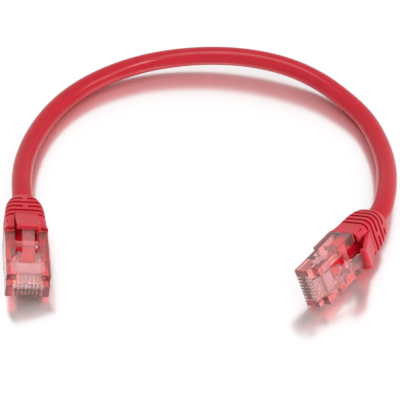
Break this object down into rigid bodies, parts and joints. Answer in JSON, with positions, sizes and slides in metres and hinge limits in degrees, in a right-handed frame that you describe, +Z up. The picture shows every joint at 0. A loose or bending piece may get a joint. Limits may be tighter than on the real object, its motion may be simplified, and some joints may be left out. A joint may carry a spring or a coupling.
{
  "type": "ethernet patch cable",
  "caption": "Short round network patch cable in a loop, with a clear latching modular plug and a grooved moulded boot at each end.",
  "frame": {"origin": "on the surface that the cable lies on, below the centre of the box around the two plugs and boots", "axes": "+X from plug a to plug b, +Y from the plugs towards the loop, +Z up"},
  "size_m": [0.1125, 0.108, 0.0148],
  "materials": {
    "clear_plastic": "clear moulded polycarbonate, glossy",
    "comb_plastic": "clear moulded plastic, slightly milky",
    "boot_red": "soft moulded vinyl, satin",
    "jacket_red": "extruded vinyl, semi-gloss",
    "gold": "gold plated",
    "copper": "bare drawn copper",
    "separator_white": "extruded polyethylene",
    "insulation_orange": "extruded polyethylene",
    "insulation_green": "extruded polyethylene",
    "insulation_blue": "extruded polyethylene",
    "insulation_brown": "extruded polyethylene"
  },
  "bodies": {
    "root": {"cable_jacket": "jacket_red", "pair_separator": "separator_white", "cable_pair_orange": "insulation_orange", "cable_pair_green": "insulation_green", "cable_pair_blue": "insulation_blue", "cable_pair_brown": "insulation_brown", "cable_copper": "copper", "plug_housing_a": "clear_plastic", "contacts_a": "gold", "load_bar_a": "comb_plastic", "boot_a": "boot_red", "jacket_end_a": "jacket_red", "pair_orange_a": "insulation_orange", "pair_green_a": "insulation_green", "pair_blue_a": "insulation_blue", "pair_brown_a": "insulation_brown", "copper_ends_a": "copper", "plug_housing_b": "clear_plastic", "contacts_b": "gold", "load_bar_b": "comb_plastic", "boot_b": "boot_red", "jacket_end_b": "jacket_red", "pair_orange_b": "insulation_orange", "pair_green_b": "insulation_green", "pair_blue_b": "insulation_blue", "pair_brown_b": "insulation_brown", "copper_ends_b": "copper"},
    "latch_a": {"latch_a": "clear_plastic"},
    "latch_b": {"latch_b": "clear_plastic"},
    "hood_a": {"hood_a": "boot_red"},
    "hood_b": {"hood_b": "boot_red"}
  },
  "joints": [
    {"name": "hood_press_a", "type": "hinge", "parent": "root", "child": "hood_a", "pos_m": [-0.04599, 0.00843, 0.00939], "axis": [0.9676, 0.1431, -0.2079], "range_deg": [0, 18], "stiffness_Nm_per_rad": 0.002},
    {"name": "latch_press_a", "type": "hinge", "parent": "root", "child": "latch_a", "pos_m": [-0.04323, -0.01381, 0.00694], "axis": [-0.9676, -0.1431, 0.2079], "range_deg": [0, 10], "stiffness_Nm_per_rad": 0.002},
    {"name": "hood_press_b", "type": "hinge", "parent": "root", "child": "hood_b", "pos_m": [0.0475, -0.00043, 0.00868], "axis": [0.3399, -0.2802, -0.8977], "range_deg": [0, 18], "stiffness_Nm_per_rad": 0.002},
    {"name": "latch_press_b", "type": "hinge", "parent": "root", "child": "latch_b", "pos_m": [0.03215, -0.01693, 0.00801], "axis": [-0.3399, 0.2802, 0.8977], "range_deg": [0, 10], "stiffness_Nm_per_rad": 0.002}
  ],
  "couplings": [
    {"joint": "latch_press_a", "follows": "hood_press_a", "ratio": 0.5555},
    {"joint": "latch_press_b", "follows": "hood_press_b", "ratio": 0.5555}
  ]
}
